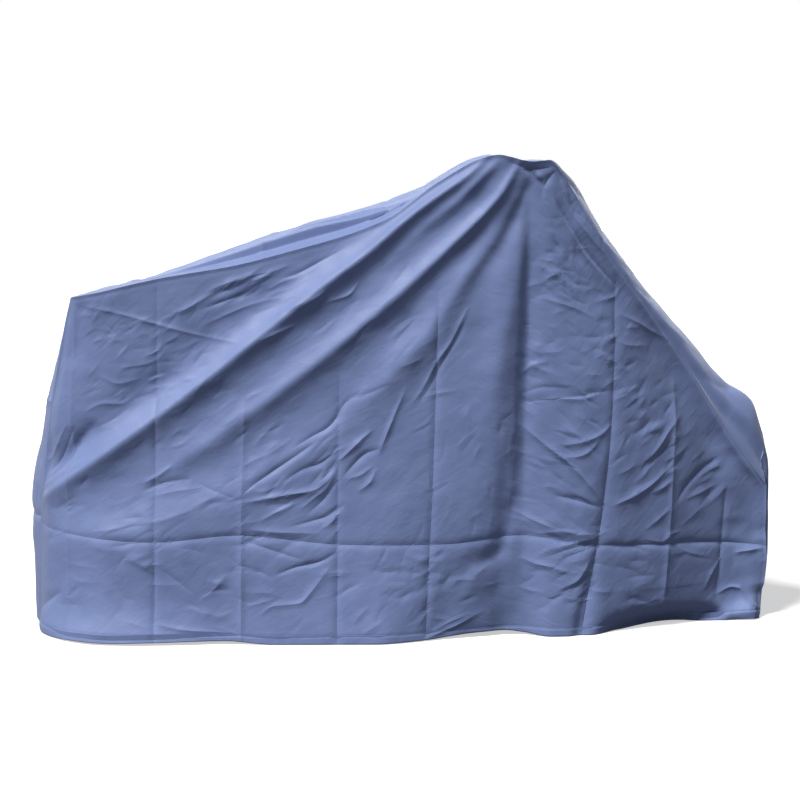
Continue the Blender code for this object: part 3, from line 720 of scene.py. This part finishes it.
def side_grid(hem_places, rises, side):
    """A side panel's outer face as rows of points from the hem up, on the near side, with
    its distance from the seam and its crease marks."""
    hem_x, rise = np.meshgrid(hem_places, rises)
    points = near_side_points(hem_x, rise)
    normals = surface_normals(points, (0.0, -1.0, 0.0))
    x = points[..., 0]
    z = points[..., 2]
    creases = with_wrinkles(side.creases, side.patches)
    heights = np.zeros(x.shape)
    add_folds(heights, x, z, side.folds)
    add_folds(heights, x, z, creases)
    add_lumps(heights, x, z, SIDE_LUMPS, side.seed)
    along = np.linspace(0.0, 1.0, len(hem_places))[None, :]
    fade = ease((1 - rise) / SEAM_FADE) * (1 - FOLD_AT_SEAM) + FOLD_AT_SEAM
    fade = fade * ease(along / REAR_EDGE_FADE)
    distance = seam_distance(points)
    heights = heights * fade + hem_profile(z) + seam_profile(distance)
    return points + normals * heights[..., None], distance, crease_marks(x, z, creases)


def crest_points(hem_places, rises):
    """The gusset's middle line, from the rear hem over the top to the front hem."""
    runs = ((BACK_CREST, rises), (TOP_CREST, hem_places[1:]), (FRONT_CREST, rises[::-1][1:]))
    parts = []
    for table, wanted in runs:
        x = read_smoothly(table.at, table.x, wanted)
        z = read_smoothly(table.at, table.z, wanted)
        parts.append(np.stack((x, np.zeros(len(x)), z), axis=-1))
    return np.concatenate(parts)


def seam_run(grid):
    """What a side panel's grid holds along its seams, in the gusset's row order."""
    return np.concatenate((grid[:, 0], grid[-1, 1:], grid[::-1, -1][1:]))


def gusset_rise(across, crest_x):
    """The share of the crest's height at places across, for each row of the gusset."""
    arch = read_smoothly(RISES.across, RISES.arch, across)
    step = read_smoothly(RISES.across, RISES.step, across)
    share = np.interp(crest_x, STEP_SHARES.x, STEP_SHARES.share)[:, None]
    return arch * (1 - share) + step * share


def gusset_heights(points, run, place, edge, crest_x):
    """How far the gusset's lumps, folds and seams lift it, and its crease marks."""
    heights = np.zeros(points.shape[:2])
    add_lumps(heights, run, place, GUSSET_LUMPS, GUSSET_SEED)
    heights *= ease((edge - LUMP_START) / LUMP_RUN)
    add_folds(heights, points[..., 0], points[..., 1], GUSSET_CREASES)
    small = with_wrinkles(GUSSET_PACKING, GUSSET_PATCHES)
    add_folds(heights, run, place, small)
    heights = heights * ease(edge / GUSSET_EDGE_FADE) + seam_profile(edge)
    front = ease((crest_x[:, None] - FRONT_GUTTER_START) / FRONT_GUTTER_RUN) * (place < 0)
    gutter = np.exp(-((edge - FRONT_GUTTER_PLACE) / FRONT_GUTTER_WIDTH) ** 2)
    heights -= FRONT_GUTTER * front * gutter
    heights -= SEAM_LIP * np.exp(-(edge / DRAWN_IN_WIDTH) ** 2)
    return heights, crease_marks(run, place, small)


def gusset_grid(near_grid, far_grid, hem_places, rises):
    """The gusset's outer face as rows of points across it, from the rear hem on, with its
    run, its place across, its distance from the seams and its crease marks."""
    near_edge = seam_run(near_grid)
    far_edge = seam_run(far_grid)
    crest = crest_points(hem_places, rises)
    lanes = [np.linspace(lane.begin, lane.end, lane.quads, endpoint=False)
             for lane in GUSSET_LANES]
    across = np.concatenate(lanes + [np.ones(1)])
    rise = gusset_rise(across, crest[:, 0])[..., None]
    share = across[None, :, None]
    flat = near_edge[:, None] * (1 - share) / 2 + far_edge[:, None] * (1 + share) / 2
    crown = crest - (near_edge + far_edge) / 2
    points = flat + crown[:, None] * rise
    normals = surface_normals(points, (0.0, 0.0, 1.0))
    run = np.broadcast_to(run_along(crest)[:, None], points.shape[:2])
    width = np.linalg.norm(far_edge - near_edge, axis=1)[:, None] / 2
    place = across[None, :] * width
    edge = width - np.abs(place)
    heights, marks = gusset_heights(points, run, place, edge, crest[:, 0])
    return points + normals * heights[..., None], run, place, edge, marks


def turn_hem(grid, normals):
    """Rows for the hem's turned-up second layer, from its inner top down to the foot."""
    inward = -normals[0] * (1.0, 1.0, 0.0)
    inward /= np.linalg.norm(inward, axis=1, keepdims=True)
    up = np.array((0.0, 0.0, HEM_DEPTH))
    return np.stack([grid[0] + inward * HEM_LAYER_GAP * share_in + up * share_up
                     for share_in, share_up in HEM_TURN])


def cloth_object(name, grid, layers, flip):
    """A mesh of quads over a grid of points, with its named coordinate layers."""
    rows, columns = grid.shape[:2]
    points = grid.reshape(-1, 3) + np.array(CENTRE_SHIFT)
    corner = (np.arange(rows - 1)[:, None] * columns + np.arange(columns - 1)).ravel()
    quads = np.stack((corner, corner + 1, corner + columns + 1, corner + columns), axis=1)
    if flip:
        quads = quads[:, ::-1]
    mesh = bpy.data.meshes.new(name)
    mesh.from_pydata(points.tolist(), [], quads.tolist())
    mesh.update()
    corners = quads.ravel()
    for layer_name, places in layers.items():
        layer = mesh.uv_layers.new(name=layer_name)
        layer.data.foreach_set("uv", places.reshape(-1, 2)[corners].ravel())
    mesh.shade_smooth()
    piece = bpy.data.objects.new(name, mesh)
    bpy.context.scene.collection.objects.link(piece)
    return piece


def side_rises():
    """Height shares of the rows, closer together through the hem."""
    hem = np.linspace(0.0, HEM_ZONE, HEM_ROWS, endpoint=False)
    return np.concatenate((hem, np.linspace(HEM_ZONE, 1.0, SIDE_ROWS + 1)))


def side_panel(name, grid, distance, marks, flip):
    """A side panel's piece: its hem's second layer and its outer face, in one mesh."""
    outside = (0.0, 1.0, 0.0) if flip else (0.0, -1.0, 0.0)
    turned = turn_hem(grid, surface_normals(grid, outside))
    whole = np.concatenate((turned, grid))
    columns = grid.shape[1]
    u = np.broadcast_to(run_along(grid[RUN_ROW]), whole.shape[:2])
    v = whole[..., 2].copy()
    v[:len(turned)] *= -1
    seam = np.concatenate((np.ones((len(turned), columns)), distance))
    layers = {
        "cloth": np.stack((u, v), axis=-1),
        "seam": np.stack((u + v, seam), axis=-1),
        "crease": np.concatenate((np.zeros((len(turned), columns, 2)), marks)),
    }
    return cloth_object(name, whole, layers, flip)


def build_panels():
    hem_places = even_hem_places(SIDE_COLUMNS + 1)
    rises = side_rises()
    near, far = [side_grid(hem_places, rises, side) for side in SIDES]
    far_grid = far[0] * np.array((1.0, -1.0, 1.0))
    sag = REAR_SAG * np.clip((REAR_SAG_PLACE - hem_places) / REAR_SAG_RUN, 0.0, 1.0)
    far_grid[..., 2] *= 1 - sag
    gusset, run, place, edge, marks = gusset_grid(near[0], far_grid, hem_places, rises)
    layers = {
        "cloth": np.stack((place, run), axis=-1),
        "seam": np.stack((run, edge), axis=-1),
        "crease": marks,
    }
    far_kept = [part[:, ::FAR_COLUMN_STEP] for part in (far_grid, far[1], far[2])]
    near_piece = side_panel("near_panel_cloth", *near, False)
    far_piece = side_panel("far_panel_cloth", *far_kept, True)
    gusset_piece = cloth_object("gusset_cloth", gusset, layers, True)
    return near_piece, far_piece, gusset_piece


CLOTH_LIGHT = (0.169, 0.227, 0.444, 1.0)
CLOTH_DARK = (0.154, 0.209, 0.417, 1.0)
# The part of each noise that runs from one colour or roughness to the other.
MOTTLE_SPREAD = (0.30, 0.70)
GLOSS_SPREAD = (0.25, 0.75)
ROUGHNESS_RANGE = (0.52, 0.62)
SPECULAR = 0.4
SHEEN = 0.10
SHEEN_ROUGHNESS = 0.5

STITCH_COLOUR = (0.10, 0.13, 0.27, 1.0)
STITCH_COLOUR_SHARE = 0.5
STITCH_LENGTH = 0.0036
STITCH_HALF_WIDTH = 0.0006
# A stitch's soft edges, in half widths across it and in lengths along it.
STITCH_SIDES = (0.5, 1.5)
STITCH_ENDS = (0.30, 0.40)
SEAM_STITCH_PLACE = 0.6 * SEAM_GROOVE_PLACE

# How deep each part of the bumpy relief is, and how strongly it is shaded.
CRUMPLE_HEIGHT = 0.0018
CRINKLE_HEIGHT = 0.0007
WEAVE_HEIGHT = 0.00003
STITCH_HEIGHT = 0.0003
CREASE_LINE_HEIGHT = 0.42
CREASE_LINE_WIDTH = 0.0020
WEAVE_PITCH = 0.0011
SIDE_BUMP = 0.55
GUSSET_BUMP = 0.40

# The finest wrinkles, drawn out along a direction in degrees above level, over a run of
# the panel measured from its rear edge.
FineWrinkles = namedtuple("FineWrinkles", "begin end angle")
FINE_WRINKLES = (
    FineWrinkles(-0.20, 1.16, 34.0),
    FineWrinkles(1.16, 1.42, -28.0),
    FineWrinkles(1.42, 2.20, 40.0),
)
FINE_WRINKLE_SCALE = 38.0
FINE_WRINKLE_STRETCH = 0.38
FINE_WRINKLE_HEIGHT = 0.0022
FINE_WRINKLE_BLEND = 0.04


class Nodes:
    """Short ways to add and link the nodes of a material or of the world."""

    def __init__(self, owner):
        owner.use_nodes = True
        self.tree = owner.node_tree

    def put(self, value, socket):
        if isinstance(value, bpy.types.NodeSocket):
            self.tree.links.new(value, socket)
        else:
            socket.default_value = value

    def add(self, kind, inputs=(), **settings):
        node = self.tree.nodes.new(kind)
        for key, value in settings.items():
            setattr(node, key, value)
        for key, value in dict(inputs).items():
            self.put(value, node.inputs[key])
        return node

    def math(self, operation, first, second=0.0):
        node = self.add("ShaderNodeMath", {0: first, 1: second}, operation=operation)
        return node.outputs[0]

    def ramp(self, value, low, high, low_out, high_out):
        node = self.add("ShaderNodeMapRange", interpolation_type="SMOOTHSTEP")
        for socket, number in zip(node.inputs, (value, low, high, low_out, high_out)):
            self.put(number, socket)
        return node.outputs[0]

    def noise(self, vector, scale, detail, roughness=0.5, distortion=0.0, kind="FBM"):
        inputs = {"Vector": vector, "Scale": scale, "Detail": detail,
                  "Roughness": roughness, "Distortion": distortion}
        return self.add("ShaderNodeTexNoise", inputs, noise_type=kind).outputs["Fac"]

    def mix(self, share, first, second):
        node = self.add("ShaderNodeMix", {"Factor": share, "A": first, "B": second},
                        data_type="RGBA")
        return node.outputs["Result"]

    def layer(self, name):
        return self.add("ShaderNodeUVMap", uv_map=name).outputs["UV"]

    def split(self, vector):
        return self.add("ShaderNodeSeparateXYZ", {"Vector": vector}).outputs

    def show(self, elsewhere, to_camera, output):
        """Sends one shader to the camera and another to every other ray."""
        path = self.add("ShaderNodeLightPath")
        mix = self.add("ShaderNodeMixShader", {"Fac": path.outputs["Is Camera Ray"],
                                               1: elsewhere, 2: to_camera})
        self.put(mix.outputs["Shader"], self.tree.nodes[output].inputs["Surface"])


def stitches(nodes, along, across, line):
    """How much of a stitch there is: dashes along a line across the cloth."""
    off = nodes.math("ABSOLUTE", nodes.math("SUBTRACT", across, line))
    sides = [STITCH_HALF_WIDTH * share for share in STITCH_SIDES]
    on_line = nodes.ramp(off, *sides, 1.0, 0.0)
    dash = nodes.math("FRACT", nodes.math("DIVIDE", along, STITCH_LENGTH))
    middle = nodes.math("ABSOLUTE", nodes.math("SUBTRACT", dash, 0.5))
    on_dash = nodes.ramp(middle, *STITCH_ENDS, 1.0, 0.0)
    return nodes.math("MULTIPLY", on_line, on_dash)


def crease_lines(nodes):
    """The sharp line along the middle of each crease, from the crease marks."""
    marks = nodes.split(nodes.layer("crease"))
    away = nodes.math("ABSOLUTE", marks["X"])
    line = nodes.math("EXPONENT", nodes.math("DIVIDE", away, -CREASE_LINE_WIDTH))
    height = nodes.math("MULTIPLY", marks["Y"], CREASE_LINE_HEIGHT)
    return nodes.math("MULTIPLY", height, line)


def fine_wrinkles(nodes, cloth, u):
    """Fine drawn-out wrinkles, whose direction changes along the cloth."""
    fine = 0.0
    scale = (FINE_WRINKLE_SCALE * FINE_WRINKLE_STRETCH, FINE_WRINKLE_SCALE, 1.0)
    blend = FINE_WRINKLE_BLEND
    for part in FINE_WRINKLES:
        turn = (0.0, 0.0, -math.radians(part.angle))
        turned = nodes.add("ShaderNodeMapping", {"Vector": cloth, "Rotation": turn})
        drawn_out = nodes.add("ShaderNodeMapping", {"Vector": turned.outputs["Vector"],
                                                    "Scale": scale})
        lines = nodes.noise(drawn_out.outputs["Vector"], scale=1.0, detail=3.0, roughness=0.55,
                            distortion=0.7)
        begins = nodes.ramp(u, part.begin - blend, part.begin + blend, 0.0, 1.0)
        ends = nodes.ramp(u, part.end - blend, part.end + blend, 1.0, 0.0)
        here = nodes.math("MULTIPLY", begins, ends)
        fine = nodes.math("ADD", fine, nodes.math("MULTIPLY", lines, here))
    return fine


def cloth_relief(nodes, cloth, u, v, stitch):
    """The height of the crumples, wrinkles, weave, stitches and crease lines."""
    crumple = nodes.noise(cloth, scale=28.0, detail=7.0, roughness=0.68, distortion=0.6)
    crinkle = nodes.noise(cloth, scale=11.0, detail=4.0, distortion=0.9,
                          kind="RIDGED_MULTIFRACTAL")
    fine = fine_wrinkles(nodes, cloth, u)
    warp = nodes.math("SINE", nodes.math("MULTIPLY", u, 2 * math.pi / WEAVE_PITCH))
    weft = nodes.math("SINE", nodes.math("MULTIPLY", v, 2 * math.pi / WEAVE_PITCH))
    weave = nodes.math("MULTIPLY", warp, weft)
    relief = nodes.math("MULTIPLY", crumple, CRUMPLE_HEIGHT)
    for texture, height in ((crinkle, CRINKLE_HEIGHT), (fine, FINE_WRINKLE_HEIGHT),
                            (weave, WEAVE_HEIGHT), (stitch, STITCH_HEIGHT)):
        relief = nodes.math("ADD", relief, nodes.math("MULTIPLY", texture, height))
    return nodes.math("ADD", relief, crease_lines(nodes))


def cloth_material(name, bump, has_hem):
    """Coated polyester: a fine weave under a soft sheen, with crumples and stitches."""
    material = bpy.data.materials.new(name)
    nodes = Nodes(material)
    shader = nodes.tree.nodes["Principled BSDF"].inputs
    cloth = nodes.layer("cloth")
    places = nodes.split(cloth)
    u, v = places["X"], places["Y"]
    seam = nodes.split(nodes.layer("seam"))
    stitch = stitches(nodes, seam["X"], seam["Y"], SEAM_STITCH_PLACE)
    if has_hem:
        stitch = nodes.math("MAXIMUM", stitches(nodes, u, v, HEM_DEPTH), stitch)

    mottle = nodes.noise(cloth, scale=9.0, detail=5.0, roughness=0.6)
    colour = nodes.mix(nodes.ramp(mottle, *MOTTLE_SPREAD, 0.0, 1.0), CLOTH_DARK, CLOTH_LIGHT)
    thread = nodes.math("MULTIPLY", stitch, STITCH_COLOUR_SHARE)
    nodes.put(nodes.mix(thread, colour, STITCH_COLOUR), shader["Base Color"])
    gloss = nodes.noise(cloth, scale=22.0, detail=4.0)
    nodes.put(nodes.ramp(gloss, *GLOSS_SPREAD, *ROUGHNESS_RANGE), shader["Roughness"])
    relief = cloth_relief(nodes, cloth, u, v, stitch)
    bumps = nodes.add("ShaderNodeBump", {"Height": relief, "Distance": 1.0, "Strength": bump})
    nodes.put(bumps.outputs["Normal"], shader["Normal"])
    nodes.put(SPECULAR, shader["Specular IOR Level"])
    nodes.put(SHEEN, shader["Sheen Weight"])
    nodes.put(SHEEN_ROUGHNESS, shader["Sheen Roughness"])
    return material


FLOOR_SIZE = 60.0
FLOOR_Z = -0.001
FLOOR_SEEN = (0.60, 0.60, 0.60, 1.0)
# The pale glow of the floor, which keeps the shadow on it light.
FLOOR_GLOW = 0.55
FLOOR_THROWN_BACK = (0.12, 0.12, 0.13, 1.0)


def build_floor():
    """A pale floor that throws little light back up, as a studio's masked floor does."""
    bpy.ops.mesh.primitive_plane_add(size=FLOOR_SIZE, location=(0.0, 0.0, FLOOR_Z))
    floor = bpy.context.object
    floor.name = "studio_floor"
    material = bpy.data.materials.new("floor_white")
    nodes = Nodes(material)
    dull = nodes.add("ShaderNodeBsdfDiffuse", {"Color": FLOOR_THROWN_BACK})
    pale = nodes.add("ShaderNodeBsdfDiffuse", {"Color": FLOOR_SEEN})
    glow = nodes.add("ShaderNodeEmission", {"Strength": FLOOR_GLOW})
    lit = nodes.add("ShaderNodeAddShader", {0: pale.outputs["BSDF"], 1: glow.outputs["Emission"]})
    nodes.show(dull.outputs["BSDF"], lit.outputs["Shader"], "Material Output")
    floor.data.materials.append(material)


WHITE = (1.0, 1.0, 1.0, 1.0)
WORLD_COLOUR = (0.94, 0.97, 1.0, 1.0)
WORLD_LIGHT = 0.06
# How bright the pale backdrop is to rays that glance off the cloth, and where it begins
# and is whole, as the share of a ray's direction that points to the back.
WHITE_BEHIND = 2.2
BEHIND_RANGE = (0.2, 0.9)


def build_world():
    """White to the camera, and dim to every other ray but those off the cloth's gloss."""
    world = bpy.data.worlds.new("studio_world")
    bpy.context.scene.world = world
    nodes = Nodes(world)
    direction = nodes.split(nodes.add("ShaderNodeTexCoord").outputs["Generated"])
    behind = nodes.ramp(direction["Y"], *BEHIND_RANGE, 0.0, WHITE_BEHIND)
    glancing = nodes.add("ShaderNodeLightPath").outputs["Is Glossy Ray"]
    strength = nodes.math("ADD", nodes.math("MULTIPLY", behind, glancing), WORLD_LIGHT)
    dim = nodes.tree.nodes["Background"]
    nodes.put(WORLD_COLOUR, dim.inputs["Color"])
    nodes.put(strength, dim.inputs["Strength"])
    white = nodes.add("ShaderNodeBackground", {"Color": WHITE, "Strength": 1.0})
    nodes.show(dim.outputs["Background"], white.outputs["Background"], "World Output")


# Soft distant lamps: turn and height in degrees, from the camera's side and above the
# floor, their power, and the angle that each spreads over.
Lamp = namedtuple("Lamp", "name turn height power spread colour")
LAMPS = (
    Lamp("key_light", -46, 58, 4.9, 14, (1.0, 0.985, 0.96)),
    Lamp("front_fill", 6, 12, 0.10, 50, (0.93, 0.96, 1.0)),
    Lamp("right_fill", 72, 42, 0.26, 50, (0.93, 0.96, 1.0)),
)
LAMP_DISTANCE = 5


def add_lamp(lamp):
    data = bpy.data.lights.new(lamp.name, "SUN")
    data.energy = lamp.power
    data.angle = math.radians(lamp.spread)
    data.color = lamp.colour
    light = bpy.data.objects.new(lamp.name, data)
    turn = math.radians(lamp.turn)
    height = math.radians(lamp.height)
    light.location = (LAMP_DISTANCE * math.sin(turn) * math.cos(height),
                      -LAMP_DISTANCE * math.cos(turn) * math.cos(height),
                      LAMP_DISTANCE * math.sin(height))
    direction = -light.location
    light.rotation_euler = direction.to_track_quat("-Z", "Y").to_euler()
    bpy.context.scene.collection.objects.link(light)


CAMERA_PLACE = (CENTRE_SHIFT[0], -5.4, 1.17)
CAMERA_PITCH = math.radians(90 - 6.65)


def build_camera():
    data = bpy.data.cameras.new("camera")
    data.lens = 95.0
    data.sensor_width = 36.0
    camera = bpy.data.objects.new("camera", data)
    camera.location = CAMERA_PLACE
    camera.rotation_euler = (CAMERA_PITCH, 0.0, 0.0)
    bpy.context.scene.collection.objects.link(camera)
    bpy.context.scene.camera = camera


def main():
    near_piece, far_piece, gusset_piece = build_panels()
    side_cloth = cloth_material("side_cloth", SIDE_BUMP, has_hem=True)
    gusset_cloth = cloth_material("gusset_cloth", GUSSET_BUMP, has_hem=False)
    for piece, node, cloth in ((near_piece, "side_panel_near", side_cloth),
                               (far_piece, "side_panel_far", side_cloth),
                               (gusset_piece, "centre_gusset", gusset_cloth)):
        piece.data.materials.append(cloth)
        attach(piece, "root")
        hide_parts(node)
    build_floor()
    build_world()
    for lamp in LAMPS:
        add_lamp(lamp)
    build_camera()
    bpy.context.scene.view_settings.view_transform = "Standard"


main()
